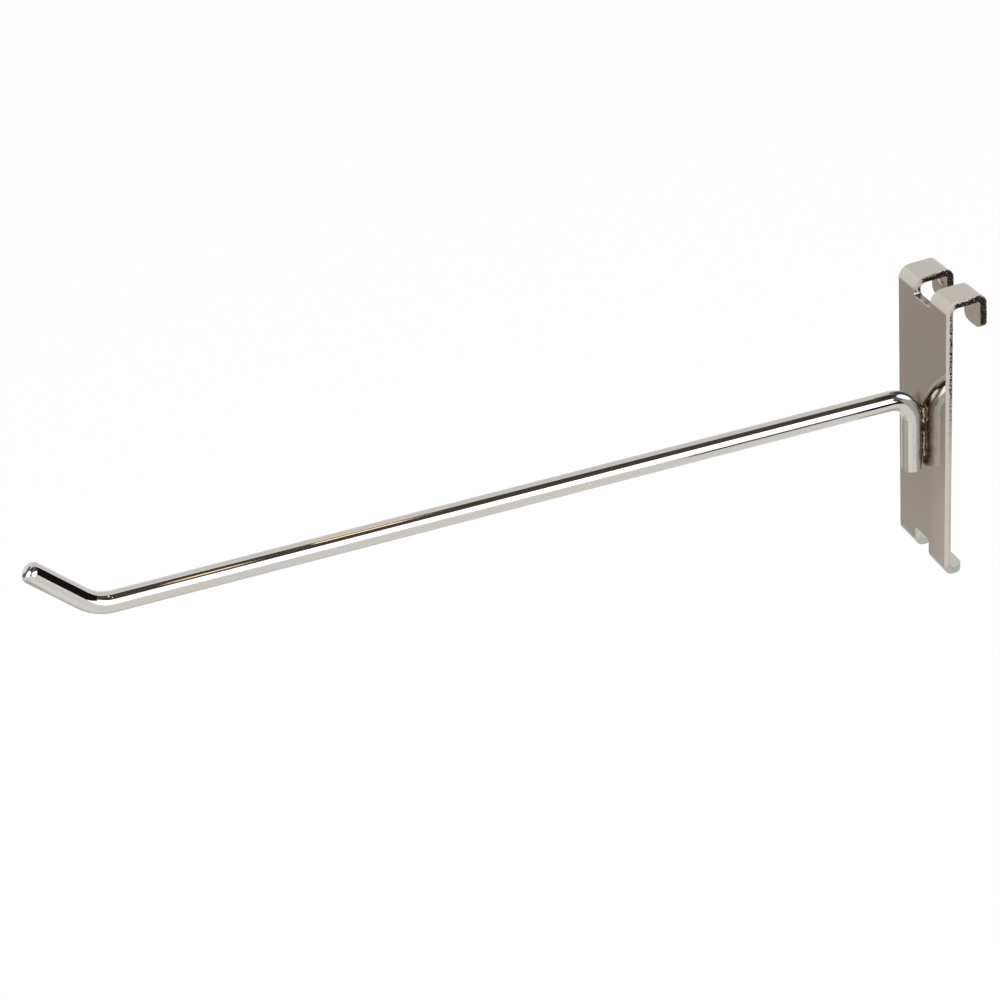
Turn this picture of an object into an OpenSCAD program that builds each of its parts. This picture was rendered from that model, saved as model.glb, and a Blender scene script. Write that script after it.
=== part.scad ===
// Gridwall hook: a bent round wire arm welded to a folded sheet plate that hangs on a wire grid.
// Origin on the axis of the upper grid wire as it sits under the lugs, midway across the plate.
// +Z is up, +Y points back into the grid, the arm reaches out along -Y, +X runs across the plate.

/* [Grid wall] */
// Diameter of the grid's wires
grid_wire_d = 6.35; // [5:0.05:8]
// Distance between the axes of two neighbouring horizontal grid wires
grid_pitch = 76.2; // [50:0.1:110]
// Play between the upper grid wire and the lips behind it
channel_play = 1.75; // [0.3:0.05:4]
// Play between the lower grid wire and the tabs under it
foot_play = 2.45; // [0.3:0.05:6]

/* [Back plate] */
// Thickness of the sheet
sheet_t = 2; // [1.2:0.1:3]
// Width of the plate
plate_w = 25.4; // [20:0.1:50]
// Radius of the rounded corners inside both notches
notch_corner_r = 1.2; // [0.4:0.1:2]

/* [Lugs] */
// Width of the open notch between the two lugs
lug_notch_w = 8.6; // [5:0.1:12]
// Depth of that notch below the top of the lugs
lug_notch_depth = 5; // [4:0.1:20]
// Outer radius of the fold where the plate turns into the lugs
lug_bend_r = 3.4; // [3.1:0.1:4.5]
// Outer radius of the fold where the lugs turn into the lips
lip_bend_r = 2.8; // [2.1:0.1:4.5]
// Height of a lip below the top of its lug
lip_h = 10.6; // [8:0.1:16]
// Angle by which the lips stand open, away from the plate
lip_open_deg = 1.8; // [0:0.1:8]
// Radius of the lips' lower corners
lip_corner_r = 2.3; // [0.5:0.1:3.5]

/* [Foot tabs] */
// Width of the open notch between the two feet
foot_notch_w = 7.6; // [4:0.1:11]
// Height of that notch above the underside of the tabs
foot_notch_h = 7.4; // [5:0.1:20]
// Outer radius of the fold where the feet turn into the tabs
foot_bend_r = 3.2; // [3.1:0.1:4.5]
// Reach of the tabs behind the back face of the plate
tab_reach = 4.4; // [4.2:0.1:10]
// Radius of the tabs' free corners
tab_corner_r = 2.8; // [0.5:0.1:3]

/* [Wire arm] */
// Diameter of the arm's wire
wire_d = 5.7; // [4.5:0.1:8]
// Distance from the upper grid wire's axis down to the arm's axis, at the leg
arm_drop = 28.4; // [24:0.1:40]
// Length of the leg, from the arm's axis to its cut end
leg_len = 23.8; // [21:0.1:35]
// Length of the arm, from the leg's axis to the corner of the tip
arm_len = 229; // [60:1:400]
// Angle by which the arm rises towards its tip
arm_rise_deg = 2.6; // [0:0.1:10]
// Centreline radius of the bend between leg and arm
leg_bend_r = 7.5; // [5:0.1:10]
// Length of the tip, from its corner to its end
tip_len = 21.3; // [14:0.1:40]
// Angle by which the tip turns up from the arm
tip_turn_deg = 46.6; // [20:0.1:80]
// Centreline radius of the bend between arm and tip
tip_bend_r = 10; // [5:0.1:12]
// Radius of the rounded edge at the end of the tip
tip_edge_r = 1.9; // [0.5:0.1:2.2]

/* [Welds] */
// Gap between the leg and the plate, which the welds fill
weld_gap = 0.4; // [0.1:0.05:0.5]
// Radius of the weld beads
bead_r = 0.8; // [0.7:0.05:1.1]
// Opening between wire and plate at the middle of a bead
bead_opening = 0.75; // [0.7:0.05:0.9]
// Distance of a bead's axis in front of the plate
bead_lift = 0.3; // [0.2:0.05:0.5]
// Bare stretch between the leg's cut end and the lower weld
weld_end_gap = 3.5; // [1:0.1:5]
// Bare stretch between the two welds
weld_break = 2.6; // [1:0.1:4]
// Length of the upper weld on the straight part of the leg
upper_weld_below = 2; // [1:0.1:3]
// Length of the upper weld beside the bend
upper_weld_above = 3.3; // [1.5:0.1:3.6]

/* [Hidden] */
$fn = 96;
// Overshoot of cutting shapes
cut = 1;
// A wire bend and the lips' fold are this much thicker on each side than the straight stretches
// that run into them by lap, so that their surfaces cross cleanly
swell = 0.01;
lap = 0.2;

// Faces of the plate, set by the two grid wires that it holds
back_y = -grid_wire_d / 2;
front_y = back_y - sheet_t;
lug_under_z = grid_wire_d / 2;
lug_top_z = lug_under_z + sheet_t;
tab_top_z = -grid_pitch - grid_wire_d / 2 - foot_play;
foot_z = tab_top_z - sheet_t;
lip_outer_y = back_y + grid_wire_d + channel_play + sheet_t;
lip_low_z = lug_top_z - lip_h;
tab_end_y = back_y + tab_reach;
// Straight length of a lip below its fold, along its own slope
lip_flat = (lip_h - lip_bend_r + lip_bend_r * sin(lip_open_deg)) / cos(lip_open_deg);

// Places along the wire
wire_r = wire_d / 2;
leg_y = front_y - weld_gap - wire_r;
leg_turn_deg = 90 - arm_rise_deg;
leg_set_back = leg_bend_r * tan(leg_turn_deg / 2);
tip_set_back = tip_bend_r * tan(tip_turn_deg / 2);
leg_foot_z = -arm_drop - leg_len;
leg_straight = leg_len - leg_set_back;
bend_start_z = leg_foot_z + leg_straight;

// Across the plate, a bead's axis is where wire and plate stand apart by bead_opening
bead_x = sqrt(pow(wire_r, 2) - pow(wire_r + weld_gap - bead_opening, 2));

// Part of a flat ring, between two angles less than 180 degrees apart
module ring_part(r_out, from_deg, to_deg) {
    reach = 4 * r_out;
    mid_deg = (from_deg + to_deg) / 2;
    intersection() {
        difference() {
            circle(r_out);
            circle(r_out - sheet_t);
        }
        polygon([
            [0, 0],
            reach * [cos(from_deg), sin(from_deg)],
            reach * [cos(mid_deg), sin(mid_deg)],
            reach * [cos(to_deg), sin(to_deg)]
        ]);
    }
}

// Section of the folded sheet, seen from the side: Y to the right, Z up
module sheet_section() {
    lug_fold = [front_y + lug_bend_r, lug_top_z - lug_bend_r];
    lip_fold = [lip_outer_y - lip_bend_r, lug_top_z - lip_bend_r];
    foot_fold = [front_y + foot_bend_r, foot_z + foot_bend_r];
    translate([front_y, foot_fold[1]]) square([sheet_t, lug_fold[1] - foot_fold[1]]);
    translate(lug_fold) ring_part(lug_bend_r, 90, 180);
    translate([lug_fold[0], lug_under_z]) square([lip_fold[0] - lug_fold[0], sheet_t]);
    translate(lip_fold) ring_part(lip_bend_r, lip_open_deg, 90);
    translate(lip_fold) rotate(lip_open_deg) translate([lip_bend_r - sheet_t + swell, -lip_flat])
        square([sheet_t - 2 * swell, lip_flat + lap]);
    translate(foot_fold) ring_part(foot_bend_r, 180, 270);
    translate([foot_fold[0], foot_z]) square([tab_end_y - foot_fold[0], sheet_t]);
}

// What rounding takes off a corner that has its point at the origin and its body towards +X and +Y
module corner_waste(r, depth) {
    translate([0, 0, -depth / 2]) difference() {
        translate([-cut, -cut, 0]) cube([r + cut, r + cut, depth]);
        translate([r, r, -cut]) cylinder(r = r, h = depth + 2 * cut);
    }
}

// A notch of width w with rounded inner corners, closed at Z 0, open above and running along Y
module notch(w, height, from_y, to_y) {
    translate([0, to_y, 0]) rotate([90, 0, 0]) linear_extrude(to_y - from_y) {
        translate([-w / 2, notch_corner_r]) square([w, height - notch_corner_r]);
        translate([-w / 2 + notch_corner_r, 0]) square([w - 2 * notch_corner_r, height]);
        for (side = [-1, 1])
            translate([side * (w / 2 - notch_corner_r), notch_corner_r]) circle(notch_corner_r);
    }
}

// The open space between the lugs: a shallow notch in the plate, and all of the sheet behind it
module between_lugs() {
    lip_reach_y = lip_outer_y + lip_h + cut;
    translate([0, 0, lug_top_z - lug_notch_depth])
        notch(lug_notch_w, lug_notch_depth + cut, front_y - cut, lip_reach_y);
    translate([-lug_notch_w / 2, back_y + cut, lip_low_z - cut])
        cube([lug_notch_w, lip_reach_y - back_y - cut, lip_h + 2 * cut]);
}

// The open space between the feet and between their tabs
module between_feet() {
    translate([0, 0, foot_z + foot_notch_h]) mirror([0, 0, 1])
        notch(foot_notch_w, foot_notch_h + cut, front_y - cut, tab_end_y + cut);
}

// Two lugs over the upper grid wire and two tabs under the lower one, folded from one sheet
module back_plate() {
    color([0.72, 0.71, 0.68]) difference() {
        rotate([90, 0, 90]) translate([0, 0, -plate_w / 2]) linear_extrude(plate_w) sheet_section();
        between_lugs();
        between_feet();
        // Rounded lower corners of the lips
        for (side = [-1, 1], edge = [plate_w, -lug_notch_w])
            translate([side * edge / 2, lip_outer_y, lip_low_z]) rotate([90, 0, 0])
                scale([-side, 1, 1]) corner_waste(lip_corner_r, 4 * sheet_t);
        // Rounded free corners of the tabs
        for (side = [-1, 1], edge = [plate_w, -foot_notch_w])
            translate([side * edge / 2, tab_end_y, foot_z])
                scale([-side, -1, 1]) corner_waste(tab_corner_r, 4 * sheet_t);
    }
}

// A bend that starts at the origin along +Z and turns towards -Y, or towards +Y when up is true.
// Its children stand at its end, along their own +Z, and turn the same way round.
module bend(r, turn_deg, up = false) {
    rotate([0, 0, up ? 180 : 0]) {
        translate([0, -r, 0]) rotate([90, 0, 90])
            rotate_extrude(angle = turn_deg) translate([r, 0]) circle(wire_r + swell);
        translate([0, r * cos(turn_deg) - r, r * sin(turn_deg)])
            rotate([turn_deg, 0, 0]) children();
    }
}

// Straight end of the wire with a rounded edge
module rounded_end(length) {
    rotate_extrude() intersection() {
        square([wire_r, length]);
        union() {
            square([wire_r, length - tip_edge_r]);
            square([wire_r - tip_edge_r, length]);
            translate([wire_r - tip_edge_r, length - tip_edge_r]) circle(tip_edge_r);
        }
    }
}

// Round wire: a short leg down the front of the plate, the long arm, and the turned-up tip
module wire_path() {
    arm_straight = arm_len - leg_set_back - tip_set_back;
    tip_straight = tip_len - tip_set_back;
    translate([0, leg_y, leg_foot_z]) {
        cylinder(r = wire_r, h = leg_straight + lap);
        translate([0, 0, leg_straight]) bend(leg_bend_r, leg_turn_deg) {
            translate([0, 0, -lap]) cylinder(r = wire_r, h = arm_straight + 2 * lap);
            translate([0, 0, arm_straight]) bend(tip_bend_r, tip_turn_deg, up = true)
                translate([0, 0, -lap]) rounded_end(tip_straight + lap);
        }
    }
}

module wire_arm() {
    color([0.8, 0.8, 0.8]) wire_path();
}

// Weld metal between two heights: a bead along each side of the leg, and the gap behind it filled
module weld(low_z, high_z) {
    axis_y = front_y - bead_lift;
    span = high_z - low_z - 2 * bead_r;
    color([0.42, 0.34, 0.27]) difference() {
        intersection() {
            union() {
                for (side = [-1, 1]) translate([side * bead_x, axis_y, low_z + bead_r]) {
                    sphere(bead_r);
                    cylinder(r = bead_r, h = span);
                    translate([0, 0, span]) sphere(bead_r);
                }
                translate([-bead_x, front_y - bead_opening, low_z + bead_r])
                    cube([2 * bead_x, bead_opening, span]);
            }
            // Only what lies in front of the plate
            translate([-plate_w / 2, front_y - wire_d, low_z - cut])
                cube([plate_w, wire_d, high_z - low_z + 2 * cut]);
        }
        wire_path();
    }
}

module upper_weld() {
    weld(bend_start_z - upper_weld_below, bend_start_z + upper_weld_above);
}

module lower_weld() {
    weld(leg_foot_z + weld_end_gap, bend_start_z - upper_weld_below - weld_break);
}

back_plate();
wire_arm();
upper_weld();
lower_weld();
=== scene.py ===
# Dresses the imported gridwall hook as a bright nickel-plated steel hook in a plain white studio.
# Sizes are in metres, in the frame of the CAD model: the origin lies on the axis of the upper grid
# wire, +Z is up, the arm reaches out along -Y, and +X runs across the plate.
import math

import bpy
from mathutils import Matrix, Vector


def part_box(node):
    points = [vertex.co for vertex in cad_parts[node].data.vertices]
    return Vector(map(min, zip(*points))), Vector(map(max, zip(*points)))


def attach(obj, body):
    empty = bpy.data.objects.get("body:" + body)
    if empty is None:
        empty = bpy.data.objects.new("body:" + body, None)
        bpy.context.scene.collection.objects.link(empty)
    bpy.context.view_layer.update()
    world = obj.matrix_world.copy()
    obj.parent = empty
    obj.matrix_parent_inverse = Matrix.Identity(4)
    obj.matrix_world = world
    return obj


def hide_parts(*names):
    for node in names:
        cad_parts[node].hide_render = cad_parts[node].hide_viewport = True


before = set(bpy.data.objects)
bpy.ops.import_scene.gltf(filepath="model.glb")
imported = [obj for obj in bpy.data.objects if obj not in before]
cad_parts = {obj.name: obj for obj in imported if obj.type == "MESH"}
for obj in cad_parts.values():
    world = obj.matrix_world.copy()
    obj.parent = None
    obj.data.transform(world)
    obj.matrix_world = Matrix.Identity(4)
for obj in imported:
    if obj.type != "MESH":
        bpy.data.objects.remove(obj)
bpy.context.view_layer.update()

# Driving sizes, as in the part's source
SHEET_T = 0.002
FOLD_R = 0.0032
GRID_WIRE_D = 0.00635
CHANNEL_PLAY = 0.00175
LIP_H = 0.0106
LUG_NOTCH_W = 0.0086
LUG_NOTCH_DEPTH = 0.005
FOOT_NOTCH_H = 0.0074
TAB_REACH = 0.0044
BEAD_X = 0.00137
BEAD_LIFT = 0.0003
ARM_RISE_DEG = 2.6

# Places on the plate and the welds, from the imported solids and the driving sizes
plate_low, plate_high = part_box("back_plate")
FRONT_Y = plate_low.y
BACK_Y = FRONT_Y + SHEET_T
LIP_INNER_Y = BACK_Y + GRID_WIRE_D + CHANNEL_PLAY
LIP_OUTER_Y = LIP_INNER_Y + SHEET_T
TAB_END_Y = BACK_Y + TAB_REACH
BEAD_Y = FRONT_Y - BEAD_LIFT
LUG_TOP_Z = plate_high.z
LUG_NOTCH_Z = LUG_TOP_Z - LUG_NOTCH_DEPTH
LIP_LOW_Z = LUG_TOP_Z - LIP_H
FOOT_Z = plate_low.z
FOOT_NOTCH_Z = FOOT_Z + FOOT_NOTCH_H
WELD_LOW_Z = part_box("lower_weld")[0].z
WELD_TOP_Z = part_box("upper_weld")[1].z
# A nib on the inner face of the far lip
NIB = (-0.00799, LIP_INNER_Y, -0.00045)
# Where the plate passes into its lugs, and its feet into their tabs
INTO_LUGS_Y = (-0.0034, -0.0024)
INTO_TABS_Z = (-0.0795, -0.0815)
# The coat of plating rounds the sheet's edges by this radius
PLATED_EDGE_R = 0.00025

# The studio's cards face the bend of the arm, and its lamp the arm's middle
BEND = Vector((0, -0.02, -0.03))
ARM_MIDDLE = Vector((0, -0.12, -0.03))

# Settings that many nodes share. A colour mix takes its share at input 0, its colours at 6 and 7.
SMOOTH = {"interpolation_type": "SMOOTHSTEP"}
COLOUR_MIX = {"data_type": "RGBA", "take": 2}


def tone(code):
    """Linear colour of an sRGB hex code."""
    parts = [int(code[i : i + 2], 16) / 255 for i in (0, 2, 4)]
    return tuple(c / 12.92 if c <= 0.04045 else ((c + 0.055) / 1.055) ** 2.4 for c in parts) + (1.0,)


def add(tree, kind, inputs=(), take=0, stops=(), **settings):
    """Adds a shader node with its own settings. inputs are links or values, in order as a list or
    by name or number as a dict, and stops are the places and hex codes of a colour ramp. Gives
    back the output that take names, or all of them where it is None."""
    node = tree.nodes.new("ShaderNode" + kind)
    for name, value in settings.items():
        setattr(node, name, value)
    for name, value in inputs.items() if isinstance(inputs, dict) else enumerate(inputs):
        if isinstance(value, bpy.types.NodeSocket):
            tree.links.new(value, node.inputs[name])
        else:
            node.inputs[name].default_value = value
    for index, (position, code) in enumerate(stops):
        marks = node.color_ramp.elements
        mark = marks[index] if index < len(marks) else marks.new(1.0)
        mark.position = position
        mark.color = tone(code)
    return node.outputs if take is None else node.outputs[take]


def new_material(name):
    """An empty node material and its tree."""
    material = bpy.data.materials.new(name)
    material.use_nodes = True
    material.node_tree.nodes.clear()
    return material, material.node_tree


def mottle(tree, place, cell, detail=2.0):
    """Noise from 0 to 1 whose cells are that many metres along X, Y and Z."""
    scaled = add(tree, "VectorMath", [place, cell], operation="DIVIDE")
    return add(tree, "TexNoise", {"Vector": scaled, "Scale": 1.0, "Detail": detail})


def from_weld(tree, place, fade):
    """How far a point lies from the weld beads: 0 at them and 1 from 5 mm away. fade makes the
    tint die out that many times faster towards the front and the back."""
    middle = (WELD_LOW_Z + WELD_TOP_Z) / 2
    half = (WELD_TOP_Z - WELD_LOW_Z) / 2
    x, y, z = add(tree, "SeparateXYZ", [place], take=None)
    side = add(tree, "Math", [x], operation="ABSOLUTE")
    across = add(tree, "Math", [side, BEAD_X], operation="SUBTRACT")
    out = add(tree, "Math", [y, BEAD_Y], operation="SUBTRACT")
    out = add(tree, "Math", [out, fade], operation="MULTIPLY")
    height = add(tree, "Math", [z, middle], operation="SUBTRACT")
    height = add(tree, "Math", [height], operation="ABSOLUTE")
    beyond = add(tree, "Math", [height, half], operation="SUBTRACT")
    beyond = add(tree, "Math", [beyond, 0.0], operation="MAXIMUM")
    offset = add(tree, "CombineXYZ", [across, out, beyond])
    far = add(tree, "VectorMath", [offset], take="Value", operation="LENGTH")
    # The tint's edge wanders by 0.7 mm either way
    wander = mottle(tree, place, (0.0015, 0.0015, 0.0025), 3.0)
    wander = add(tree, "MapRange", [wander, 0.3, 0.7, -0.0007, 0.0007])
    far = add(tree, "Math", [far, wander], operation="ADD")
    return add(tree, "MapRange", [far, 0.0004, 0.0054, 0.0, 1.0])


def nickel_wire():
    """Bright nickel plate on drawn steel wire: a mirror that follows the wire's curve, with the
    faint long lines of the drawing die and patches a little duller from handling."""
    material, tree = new_material("nickel_plated_drawn_wire")
    place = add(tree, "TexCoord", take="Object")
    # The die's lines run up and down on the leg, and along the arm past the bend. They are too fine
    # to show, so they are drawn 0.25 mm apart.
    turn = (math.radians(ARM_RISE_DEG), 0, 0)
    level = add(tree, "Mapping", {"Vector": place, "Rotation": turn})
    along_arm = mottle(tree, level, (0.00025, 0.05, 0.00025), 3.0)
    along_leg = mottle(tree, place, (0.00025, 0.00025, 0.05), 3.0)
    out = add(tree, "SeparateXYZ", [place], take="Y")
    on_arm = add(tree, "MapRange", [out, -0.010, -0.014, 0.0, 1.0], **SMOOTH)
    lines = add(tree, "Mix", {0: on_arm, 2: along_leg, 3: along_arm})
    relief = add(tree, "Bump", {"Strength": 0.12, "Distance": 0.00001, "Height": lines})
    # Duller patches about 1 cm long, and warmer ones about 3 cm long
    haze = mottle(tree, place, (0.004, 0.012, 0.006), 4.0)
    rough = add(tree, "MapRange", [haze, 0.35, 0.75, 0.035, 0.10], **SMOOTH)
    warm = mottle(tree, place, (0.01, 0.03, 0.01))
    warm = add(tree, "MapRange", [warm, 0.3, 0.7, 0.0, 1.0], **SMOOTH)
    plating = add(tree, "Mix", {0: warm, 6: tone("CDCBC7"), 7: tone("CEC9C4")}, **COLOUR_MIX)
    # Brown scale at the beads, then a purple tint, then clean plating. The scale hides part of the
    # metal.
    heat = from_weld(tree, place, 1.0)
    tints = [(0.0, "A8927F"), (0.1, "C4B4A8"), (0.3, "DED6E2"), (0.55, "F4F1F4"), (0.8, "FFFFFF")]
    tint = add(tree, "ValToRGB", [heat], stops=tints)
    colour = add(tree, "Mix", {0: 1.0, 6: plating, 7: tint}, blend_type="MULTIPLY", **COLOUR_MIX)
    bare = add(tree, "MapRange", [heat, 0.0, 0.22, 0.45, 1.0], **SMOOTH)
    looks = {"Base Color": colour, "Metallic": bare, "Roughness": rough, "Normal": relief}
    metal = add(tree, "BsdfPrincipled", looks)
    add(tree, "OutputMaterial", {"Surface": metal}, take=None)
    return material


def nickel_sheet():
    """Bright nickel plate on cold-rolled sheet: a duller mirror than the wire, with fine rolling
    lines, cloudy patches of green-grey and pink-grey, a haze towards the feet, and painted
    reflected light that makes it paler towards the feet and low on the +X side."""
    material, tree = new_material("nickel_plated_rolled_sheet")
    place = add(tree, "TexCoord", take="Object")
    x, _, z = add(tree, "SeparateXYZ", [place], take=None)
    # The sheet has shallow waves 1 to 2 cm wide. Its rolling lines run round the folds, so each one
    # stays at one place across the plate. They are too fine to show, and are drawn 0.18 mm apart.
    waves = mottle(tree, place, (0.012, 0.02, 0.02), 1.0)
    lines = mottle(tree, place, (0.00018, 0.03, 0.03), 3.0)
    relief = add(tree, "Bevel", {"Radius": PLATED_EDGE_R}, samples=6)
    relief = add(tree, "Bump", {"Strength": 0.5, "Distance": 0.00005, "Height": waves, "Normal": relief})
    relief = add(tree, "Bump", {"Strength": 0.1, "Distance": 0.00001, "Height": lines, "Normal": relief})
    # A nib in the plating inside the far lip, twice as long across the plate as it is high
    from_nib = add(tree, "VectorMath", [place, NIB], operation="SUBTRACT")
    from_nib = add(tree, "VectorMath", [from_nib, (0.5, 1, 1)], operation="MULTIPLY")
    from_nib = add(tree, "VectorMath", [from_nib], take="Value", operation="LENGTH")
    nib = add(tree, "MapRange", [from_nib, 0.0001, 0.0009, 1.0, 0.0], **SMOOTH)
    relief = add(tree, "Bump", {"Strength": 1.0, "Distance": 0.0008, "Height": nib, "Normal": relief})

    # Haze: cloudy all over, and stronger towards the feet and towards +X
    low = add(tree, "MapRange", [z, -0.02, -0.07, 0.0, 1.0], **SMOOTH)
    side = add(tree, "MapRange", [x, -0.009, 0.012, 0.15, 1.0], **SMOOTH)
    clouds = mottle(tree, place, (0.007, 0.012, 0.012), 4.0)
    worn = add(tree, "Math", [low, side], operation="MULTIPLY")
    dull = add(tree, "Math", [clouds, 0.5, worn], operation="MULTIPLY_ADD")
    rough = add(tree, "MapRange", [dull, 0.15, 1.35, 0.045, 0.26])

    patches = mottle(tree, place, (0.006, 0.02, 0.02), 3.0)
    patches = add(tree, "MapRange", [patches, 0.32, 0.68, 0.0, 1.0], **SMOOTH)
    plating = add(tree, "Mix", {0: patches, 6: tone("BEBCB3"), 7: tone("C2BAB4")}, **COLOUR_MIX)
    # Paler on the lugs. Painted reflected light makes the plate paler towards the feet, most of all
    # on the +X side. Greener on the tabs.
    on_lugs = add(tree, "MapRange", [z, 0.001, 0.005, 0.0, 0.8], **SMOOTH)
    plating = add(tree, "Mix", {0: on_lugs, 6: plating, 7: tone("C7C4BC")}, **COLOUR_MIX)
    painted_light_to_feet = add(tree, "MapRange", [z, -0.03, -0.07, 0.0, 0.7], **SMOOTH)
    plating = add(tree, "Mix", {0: painted_light_to_feet, 6: plating, 7: tone("C9C3BA")}, **COLOUR_MIX)
    # Painted reflected light: DDD6CE lifts the plate low on the +X side
    pale = add(tree, "MapRange", [x, 0.001, 0.0125, 0.0, 0.8], **SMOOTH)
    pale = add(tree, "Math", [low, pale], operation="MULTIPLY")
    plating = add(tree, "Mix", {0: pale, 6: plating, 7: tone("DDD6CE")}, **COLOUR_MIX)
    on_tabs = add(tree, "MapRange", [z, *INTO_TABS_Z, 0.0, 0.9], **SMOOTH)
    plating = add(tree, "Mix", {0: on_tabs, 6: plating, 7: tone("C6CAC4")}, **COLOUR_MIX)
    # Painted shade: a darker brown ring round the nib, for the dark round its glint
    nib_ring_shade = add(tree, "MapRange", [from_nib, 0.0006, 0.0018, 0.9, 0.0], **SMOOTH)
    nib_ring_shade = add(tree, "Math", [nib_ring_shade, nib], operation="SUBTRACT")
    nib_ring_shade = add(tree, "Math", [nib_ring_shade, 0.0], operation="MAXIMUM")
    plating = add(tree, "Mix", {0: nib_ring_shade, 6: plating, 7: tone("9C8772")}, **COLOUR_MIX)
    # Brown scale at the beads, then a straw tint, then clean plating
    heat = from_weld(tree, place, 1.8)
    tints = [(0.0, "A68A74"), (0.12, "B89E88"), (0.28, "D2C6B8"), (0.45, "ECEAE2"), (0.75, "FFFFFF")]
    tint = add(tree, "ValToRGB", [heat], stops=tints)
    colour = add(tree, "Mix", {0: 1.0, 6: plating, 7: tint}, blend_type="MULTIPLY", **COLOUR_MIX)
    bare = add(tree, "MapRange", [heat, 0.0, 0.3, 0.35, 1.0], **SMOOTH)
    looks = {"Base Color": colour, "Metallic": bare, "Roughness": rough, "Normal": relief}
    metal = add(tree, "BsdfPrincipled", looks)
    add(tree, "OutputMaterial", {"Surface": metal}, take=None)
    return material


def depth_in_sheet(tree, place):
    """How deep a point lies in the folded sheet: 0 at its outer face and 1 at its inner one. Seen
    from the side, the outer face is a box with rounded corners."""
    middle = (0.0, (FRONT_Y + LIP_OUTER_Y) / 2, (LUG_TOP_Z + FOOT_Z) / 2)
    core = (0.0, (LIP_OUTER_Y - FRONT_Y) / 2 - FOLD_R, (LUG_TOP_Z - FOOT_Z) / 2 - FOLD_R)
    rel = add(tree, "VectorMath", [place, (0.0, 1.0, 1.0)], operation="MULTIPLY")
    rel = add(tree, "VectorMath", [rel, middle], operation="SUBTRACT")
    rel = add(tree, "VectorMath", [rel], operation="ABSOLUTE")
    rel = add(tree, "VectorMath", [rel, core], operation="SUBTRACT")
    outside = add(tree, "VectorMath", [rel, (0.0, 0.0, 0.0)], operation="MAXIMUM")
    corner = add(tree, "VectorMath", [outside], take="Value", operation="LENGTH")
    _, y, z = add(tree, "SeparateXYZ", [rel], take=None)
    inside = add(tree, "Math", [y, z], operation="MAXIMUM")
    inside = add(tree, "Math", [inside, 0.0], operation="MINIMUM")
    reach = add(tree, "Math", [corner, inside], operation="ADD")
    return add(tree, "MapRange", [reach, FOLD_R, FOLD_R - SHEET_T, 0.0, 1.0])


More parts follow.
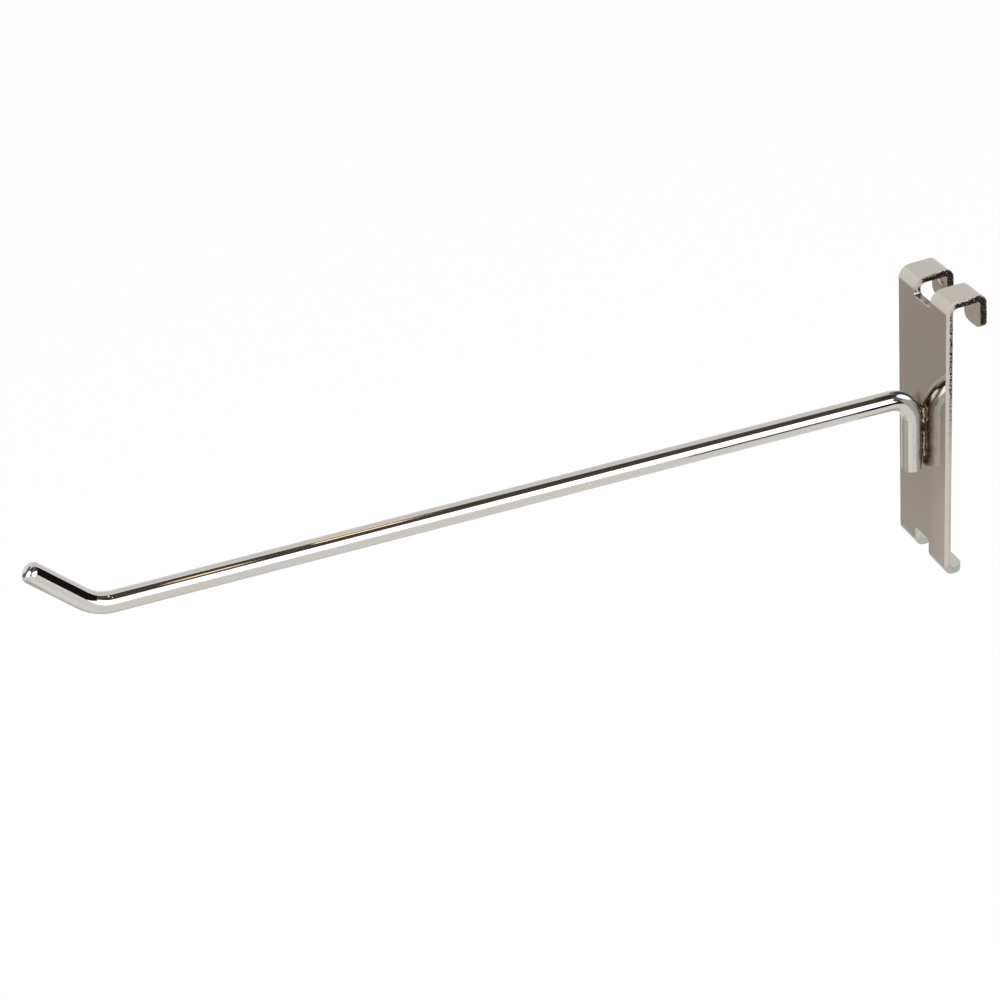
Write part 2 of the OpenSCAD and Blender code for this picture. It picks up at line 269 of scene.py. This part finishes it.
def sheared_edge():
    """Punched edge of the sheet, plated: the outer part is burnished by the die, the inner part is
    torn, so it is rough, painted dark as shade in its pits and speckled with painted glints."""
    material, tree = new_material("nickel_plated_sheared_edge")
    place = add(tree, "TexCoord", take="Object")
    x, y, z = add(tree, "SeparateXYZ", [place], take=None)
    # The burnished share of the thickness: half down the plate, a third on the lugs, none on the lips
    burnished = add(tree, "MapRange", [y, *INTO_LUGS_Y, 0.52, 0.3], **SMOOTH)
    on_lip = add(tree, "MapRange", [y, 0.001, 0.004, 0.0, 0.3], **SMOOTH)
    burnished = add(tree, "Math", [burnished, on_lip], operation="SUBTRACT")
    ragged = mottle(tree, place, (0.0004, 0.0007, 0.0007), 3.0)
    ragged = add(tree, "MapRange", [ragged, 0.3, 0.7, -0.12, 0.12])
    start = add(tree, "Math", [burnished, ragged], operation="ADD")
    past = add(tree, "Math", [depth_in_sheet(tree, place), start], operation="SUBTRACT")
    torn = add(tree, "MapRange", [past, -0.03, 0.10, 0.0, 1.0], **SMOOTH)
    # The tear is fainter towards the feet. Round the fold at the top of the plate it is nearly gone, so
    # the edge there shows its pale smooth colour: painted light, for the light the fold catches.
    harsh = add(tree, "MapRange", [z, -0.048, -0.014, 0.12, 1.0], **SMOOTH)
    torn = add(tree, "Math", [torn, harsh], operation="MULTIPLY")
    in_fold = add(tree, "MapRange", [y, -0.0022, -0.0032, 0.0, 1.0], **SMOOTH)
    high = add(tree, "MapRange", [z, 0.0016, 0.0028, 1.0, 0.06], **SMOOTH)
    fold_lightening = add(tree, "Mix", {0: in_fold, 2: 1.0, 3: high})
    torn = add(tree, "Math", [torn, fold_lightening], operation="MULTIPLY")
    # It is faint too at the bottom of the notch between the lugs
    half_w = LUG_NOTCH_W / 2
    off_middle = add(tree, "Math", [x], operation="ABSOLUTE")
    beside = add(tree, "MapRange", [off_middle, half_w - 0.0003, half_w, 0.15, 1.0], **SMOOTH)
    torn = add(tree, "Math", [torn, beside], operation="MULTIPLY")

    # Painted glints among the painted shade of the pits, fewer on the lugs and lips than down the plate
    grains = mottle(tree, place, (0.00035, 0.00035, 0.00035), 2.0)
    rare = add(tree, "MapRange", [y, *INTO_LUGS_Y, -0.01, 0.1], **SMOOTH)
    sparse = add(tree, "Math", [grains, rare], operation="SUBTRACT")
    painted_glint = add(tree, "MapRange", [sparse, 0.53, 0.62, 0.0, 1.0], **SMOOTH)
    # 2E2825 is painted shade in the pits, and C4BECE painted glints
    pits = add(tree, "Mix", {0: painted_glint, 6: tone("2E2825"), 7: tone("C4BECE")}, **COLOUR_MIX)
    on_tabs = add(tree, "MapRange", [z, *INTO_TABS_Z, 0.0, 1.0], **SMOOTH)
    smooth = add(tree, "Mix", {0: on_tabs, 6: tone("CFC4BC"), 7: tone("B7B8AF")}, **COLOUR_MIX)
    colour = add(tree, "Mix", {0: torn, 6: smooth, 7: pits}, **COLOUR_MIX)
    rough = add(tree, "MapRange", [torn, 0.0, 1.0, 0.22, 0.42])
    # Score marks of the punch, and the pits of the tear
    scores = mottle(tree, place, (0.0004, 0.003, 0.00015), 2.0)
    tears = add(tree, "Math", [grains, torn], operation="MULTIPLY")
    relief = add(tree, "Bevel", {"Radius": PLATED_EDGE_R}, samples=6)
    relief = add(tree, "Bump", {"Strength": 0.25, "Distance": 0.00002, "Height": scores, "Normal": relief})
    relief = add(tree, "Bump", {"Strength": 0.7, "Distance": 0.0001, "Height": tears, "Normal": relief})
    looks = {"Base Color": colour, "Metallic": 1.0, "Roughness": rough, "Normal": relief}
    metal = add(tree, "BsdfPrincipled", looks)
    add(tree, "OutputMaterial", {"Surface": metal}, take=None)
    return material


def weld_metal():
    """Weld metal under thin plating: dark brown scale in the hollows, bright nickel on the crests."""
    material, tree = new_material("scaled_weld_metal")
    place = add(tree, "TexCoord", take="Object")
    ripples = mottle(tree, place, (0.0012, 0.0012, 0.0007), 3.0)
    grit = mottle(tree, place, (0.0002, 0.0002, 0.0002), 2.0)
    crest = add(tree, "MapRange", [ripples, 0.46, 0.62, 0.0, 1.0], **SMOOTH)
    colour = add(tree, "Mix", {0: crest, 6: tone("94806E"), 7: tone("DCD2C4")}, **COLOUR_MIX)
    rough = add(tree, "MapRange", [crest, 0.0, 1.0, 0.45, 0.16])
    bare = add(tree, "MapRange", [crest, 0.0, 1.0, 0.3, 1.0])
    height = add(tree, "Math", [grit, 0.2, ripples], operation="MULTIPLY_ADD")
    relief = add(tree, "Bump", {"Strength": 0.5, "Distance": 0.0002, "Height": height})
    looks = {"Base Color": colour, "Metallic": bare, "Roughness": rough, "Normal": relief}
    metal = add(tree, "BsdfPrincipled", looks)
    add(tree, "OutputMaterial", {"Surface": metal}, take=None)
    return material


def is_sheared(face):
    """True for the faces that the punch cut: the sides of the sheet, the notches' ends, the tabs'
    ends and the lips' lower ends."""
    n = face.normal
    c = face.center
    near = 0.0003
    # The sheet's own faces never turn towards X, because every fold runs along it
    if abs(n.x) > 0.02:
        return True
    if n.z > 0.9 and abs(c.z - LUG_NOTCH_Z) < near:
        return True
    if n.z < -0.9 and (abs(c.z - FOOT_NOTCH_Z) < near or abs(c.z - LIP_LOW_Z) < near):
        return True
    return n.y > 0.9 and abs(c.y - TAB_END_Y) < near


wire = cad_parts["wire_arm"].data
wire.materials.clear()
wire.materials.append(nickel_wire())
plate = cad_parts["back_plate"].data
plate.materials.clear()
plate.materials.append(nickel_sheet())
plate.materials.append(sheared_edge())
for face in plate.polygons:
    face.material_index = 1 if is_sheared(face) else 0


def lumpy_weld(node, metal):
    """A weld with lumps and ripples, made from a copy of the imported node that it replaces."""
    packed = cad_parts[node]
    piece = bpy.data.objects.new(node + "_bead", packed.data.copy())
    bpy.context.scene.collection.objects.link(piece)
    bpy.ops.object.select_all(action="DESELECT")
    bpy.context.view_layer.objects.active = piece
    piece.select_set(True)
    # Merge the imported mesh's loose triangles
    bpy.ops.object.mode_set(mode="EDIT")
    bpy.ops.mesh.select_all(action="SELECT")
    bpy.ops.mesh.remove_doubles(threshold=0.000002)
    bpy.ops.object.mode_set(mode="OBJECT")
    # An even mesh of 0.12 mm faces, dented by up to 0.6 mm in lumps about 1 mm across
    even = piece.modifiers.new("even_mesh", "REMESH")
    even.mode = "VOXEL"
    even.voxel_size = 0.00012
    lumps = bpy.data.textures.new(node + "_lumps", "CLOUDS")
    lumps.noise_scale = 0.0011
    lumps.noise_depth = 1
    pushed = piece.modifiers.new("lumps", "DISPLACE")
    pushed.texture = lumps
    pushed.texture_coords = "LOCAL"
    pushed.mid_level = 0.85
    pushed.strength = 0.0007
    eased = piece.modifiers.new("eased", "SMOOTH")
    eased.factor = 0.5
    eased.iterations = 2
    for name in ("even_mesh", "lumps", "eased"):
        bpy.ops.object.modifier_apply(modifier=name)
    bpy.ops.object.shade_smooth()
    piece.data.materials.clear()
    piece.data.materials.append(metal)
    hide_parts(node)
    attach(piece, "root")


weld = weld_metal()
lumpy_weld("upper_weld", weld)
lumpy_weld("lower_weld", weld)


def white_paper():
    """Matt white studio paper. The camera and the metal see it mostly as plain white, and the rest
    of it is lit, so that it keeps the hook's shadow."""
    material, tree = new_material("white_studio_paper")
    matt = add(tree, "BsdfDiffuse", {"Color": tone("FAFAFA")})
    glow = add(tree, "Emission", {"Color": tone("FFFFFF"), "Strength": 1.0})
    path = add(tree, "LightPath", take=None)
    seen = add(tree, "Math", [path["Is Camera Ray"], path["Is Glossy Ray"]], operation="MAXIMUM")
    seen = add(tree, "Math", [seen, path["Is Transmission Ray"]], operation="MAXIMUM")
    share = add(tree, "Math", [seen, 0.8], operation="MULTIPLY")
    surface = add(tree, "MixShader", [share, matt, glow])
    add(tree, "OutputMaterial", {"Surface": surface}, take=None)
    return material


# Studio: plain white all round, and a plain pale floor below the hanging hook
world = bpy.data.worlds.new("white_studio")
bpy.context.scene.world = world
world.use_nodes = True
world.node_tree.nodes.clear()
sky = add(world.node_tree, "Background", {"Color": tone("FFFFFF"), "Strength": 1.0})
add(world.node_tree, "OutputWorld", {"Surface": sky}, take=None)

bpy.ops.object.select_all(action="DESELECT")
bpy.ops.mesh.primitive_plane_add(size=12, location=(0, 0, -0.6))
floor = bpy.context.object
floor.name = "floor"
floor.data.materials.append(white_paper())


def towards(azimuth, elevation, distance, aim):
    """A place that far from aim. Azimuth runs from +X towards +Y, in degrees."""
    a, e = math.radians(azimuth), math.radians(elevation)
    return aim + distance * Vector((math.cos(e) * math.cos(a), math.cos(e) * math.sin(a), math.sin(e)))


def card(name, centre, size, code, turn=None, strength=1.0, rim=None):
    """A flat card that only the metal's reflections show: it neither hides the part nor lights it.
    size is in metres. turn is in degrees, and without it the card faces the hook. With rim, the
    card fades out between those two radii."""
    bpy.ops.object.select_all(action="DESELECT")
    if turn is None:
        angles = (BEND - Vector(centre)).to_track_quat("Z", "Y").to_euler()
    else:
        angles = [math.radians(a) for a in turn]
    bpy.ops.mesh.primitive_plane_add(size=1, location=centre, rotation=angles)
    obj = bpy.context.object
    obj.name = name
    obj.scale = (size[0], size[1], 1)
    bpy.ops.object.transform_apply(location=False, rotation=False, scale=True)
    material, tree = new_material(name)
    surface = add(tree, "Emission", {"Color": tone(code), "Strength": strength})
    if rim:
        place = add(tree, "TexCoord", take="Object")
        far = add(tree, "VectorMath", [place], take="Value", operation="LENGTH")
        fade = add(tree, "MapRange", [far, rim[0], rim[1], 0.0, 1.0], **SMOOTH)
        clear = add(tree, "BsdfTransparent")
        surface = add(tree, "MixShader", [fade, surface, clear])
    add(tree, "OutputMaterial", {"Surface": surface}, take=None)
    material.cycles.emission_sampling = "NONE"
    obj.data.materials.append(material)
    for ray in ("camera", "diffuse", "shadow", "transmission", "volume_scatter"):
        setattr(obj, "visible_" + ray, False)


# Dark cards give the plating its dark bands. Under the one overhead hang two glowing cards
# that show in the metal as ceiling lamps: painted reflections that light nothing.
flat = (0, 0, 0)
card("dark_card_overhead", (0.22, 0.0, 0.9), (1.0, 2.6), "544D45", flat)
card("dark_card_behind", (0.72, 0.98, 0.42), (2.1, 1.08), "1E1916", (90, 0, 8))
card("dark_card_near", (0.45, 0.265, -0.11), (0.10, 0.37), "1C1814", (0, 90, 0))
card("dark_card_near_tall", (0.455, 0.40, -0.09), (0.19, 0.44), "1C1814", (0, 90, 0))
card("lamp_reflection_card_left", (-0.035, 0.022, 0.85), (0.17, 0.07), "FFDDB4", flat, 2.2)
card("lamp_reflection_card_right", (0.278, -0.088, 0.85), (0.17, 0.055), "FFDDB4", flat, 2.2)
# The side that the arm points to, which the plate and the bend mirror: a glowing card that shows
# there as a window, a painted reflection that lights nothing, between dark walls
card("window_reflection_card", towards(-79, 29, 1.0, BEND), (0.80, 0.70), "E4EAFF", strength=4.6, rim=(0.26, 0.42))
card("dark_wall_ahead_left", towards(-119, 18, 1.1, BEND), (0.62, 1.2), "6C6A74")
card("dark_wall_ahead_right", towards(-47, 32, 1.0, BEND), (0.26, 0.6), "A0A0A0")
# Paler ones for the wall behind and the table below
card("grey_card_left", towards(152, 30, 1.5, BEND), (1.7, 1.7), "F1F0EE")
card("grey_card_below", (-0.55, -0.50, -0.45), (2.2, 2.2), "B3ADA9", flat, rim=(0.1, 0.8))
card("grey_card_front", (0.05, -0.75, -0.44), (0.34, 0.6), "C8C6BC", flat)
card("pale_card_below", (0.0, 1.2, -0.5), (4.0, 3.0), "F9F8F6", flat)

# One soft box on the camera's side
softbox = bpy.data.lights.new("softbox", "AREA")
softbox.shape = "RECTANGLE"
softbox.size = 0.85
softbox.size_y = 0.76
softbox.energy = 3.6
lamp = bpy.data.objects.new("softbox", softbox)
bpy.context.scene.collection.objects.link(lamp)
lamp.location = towards(12, 26, 0.95, ARM_MIDDLE)
lamp.rotation_euler = (lamp.location - ARM_MIDDLE).to_track_quat("Z", "Y").to_euler()
lamp.visible_camera = False

# Camera at the photograph's view, with its angles in degrees
camera_data = bpy.data.cameras.new("camera")
camera_data.sensor_width = 36
camera_data.lens = 70.615
camera_data.shift_x = 0.01846
camera_data.shift_y = 0.00053
camera_data.clip_start = 0.01
camera_data.clip_end = 50
camera = bpy.data.objects.new("camera", camera_data)
bpy.context.scene.collection.objects.link(camera)
camera.location = (0.414983, -0.240323, 0.263781)
camera.rotation_euler = [math.radians(angle) for angle in (56.0849, 7.1463, 70.9354)]
bpy.context.scene.camera = camera

bpy.context.scene.view_settings.view_transform = "Standard"
